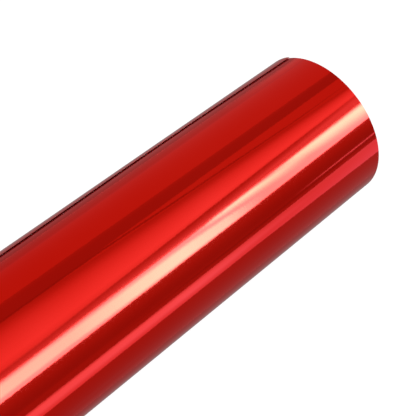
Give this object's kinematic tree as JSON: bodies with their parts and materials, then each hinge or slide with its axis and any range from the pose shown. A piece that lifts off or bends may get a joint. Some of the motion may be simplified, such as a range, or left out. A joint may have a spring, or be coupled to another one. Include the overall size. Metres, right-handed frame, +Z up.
{
  "type": "roll of sign vinyl",
  "caption": "Roll of self-adhesive metallised red sign vinyl wound face-out on a spiral paper core, with a free tail that lifts and a film that peels off its liner.",
  "frame": {"origin": "centre of the core's bore, at the middle of its length", "axes": "+X along the roll's axis, +Z up with the roll lying on its side, and the tail behind the top of the roll, on the +Y side"},
  "size_m": [0.612, 0.1019, 0.1016],
  "materials": {
    "kraft_paper": "matt brown kraft paper with fibres",
    "greyboard": "matt recycled board, cut edge",
    "label_paper": "matt white label paper",
    "tissue_tape": "matt tissue tape",
    "liner_paper": "smooth siliconised white paper",
    "adhesive": "clear tacky layer over grey",
    "metallised_film": "mirror metallised film",
    "red_top_film": "high-gloss transparent red film over the metallised mirror",
    "clear_tape": "clear glossy tape"
  },
  "bodies": {
    "roll": {"core_inner_ply": "kraft_paper", "core_middle_ply_1": "greyboard", "core_middle_ply_2": "greyboard", "core_middle_ply_3": "greyboard", "core_middle_ply_4": "greyboard", "core_middle_ply_5": "greyboard", "core_middle_ply_6": "greyboard", "core_middle_ply_7": "greyboard", "core_outer_ply": "kraft_paper", "core_label": "label_paper", "start_tape": "tissue_tape", "wound_release_liner": "liner_paper", "wound_adhesive": "adhesive", "wound_metallised_film": "metallised_film", "wound_clear_top_film": "red_top_film"},
    "tail": {"tail_release_liner": "liner_paper"},
    "tail_film": {"tail_adhesive": "adhesive", "tail_metallised_film": "metallised_film", "tail_clear_top_film": "red_top_film", "closing_tape": "clear_tape"}
  },
  "joints": [
    {"name": "tail_lift", "type": "hinge", "parent": "roll", "child": "tail", "pos_m": [0, 0.05068, -0.00622], "axis": [-1, 0, 0], "range_deg": [0, 60], "stiffness_Nm_per_rad": 0.05},
    {"name": "film_peel", "type": "hinge", "parent": "tail", "child": "tail_film", "pos_m": [0, 0.05068, -0.00622], "axis": [-1, 0, 0], "range_deg": [0, 60], "stiffness_Nm_per_rad": 0.03}
  ]
}
